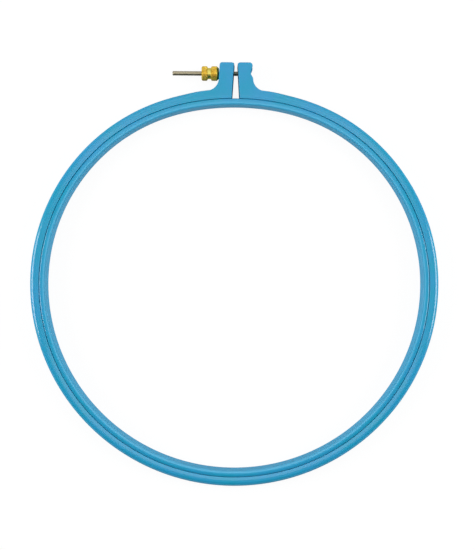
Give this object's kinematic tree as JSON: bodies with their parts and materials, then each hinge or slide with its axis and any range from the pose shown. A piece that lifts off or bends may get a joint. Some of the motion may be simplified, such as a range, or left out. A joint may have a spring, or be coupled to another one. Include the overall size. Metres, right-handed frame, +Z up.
{
  "type": "embroidery hoop",
  "caption": "Round plastic embroidery hoop: a closed inner ring inside a split outer ring, whose clamp ears are drawn together by a screw and a knurled brass thumb nut.",
  "frame": {"origin": "middle of the whole hoop's outline in plan, ears included, on the surface that it lies on", "axes": "+Z up through the hoop's window, +Y from the window towards the clamp ears, +X along the clamp screw towards its head"},
  "size_m": [0.2696, 0.2792, 0.0103],
  "materials": {
    "blue_plastic": "moulded, low gloss",
    "plated_steel": "plated, dull",
    "brass": "turned and knurled, bright"
  },
  "bodies": {
    "outer_ring": {"outer_ring": "blue_plastic"},
    "inner_ring": {"inner_ring": "blue_plastic"},
    "clamp_screw": {"clamp_screw": "plated_steel"},
    "thumb_nut": {"thumb_nut": "brass"}
  },
  "joints": [
    {"name": "inner_ring_lift", "type": "slide", "parent": "outer_ring", "child": "inner_ring", "axis": [0, 0, 1], "range_m": [0, 0.03]},
    {"name": "nut_turn", "type": "hinge", "parent": "outer_ring", "child": "thumb_nut", "pos_m": [-0.0172, 0.1329, 0.005], "axis": [-1, 0, 0], "range_deg": [0, 13860]},
    {"name": "screw_draw", "type": "slide", "parent": "outer_ring", "child": "clamp_screw", "axis": [1, 0, 0], "range_m": [0, 0.01925]}
  ],
  "couplings": [
    {"joint": "nut_turn", "follows": "screw_draw", "rad_per_m": 12566}
  ]
}
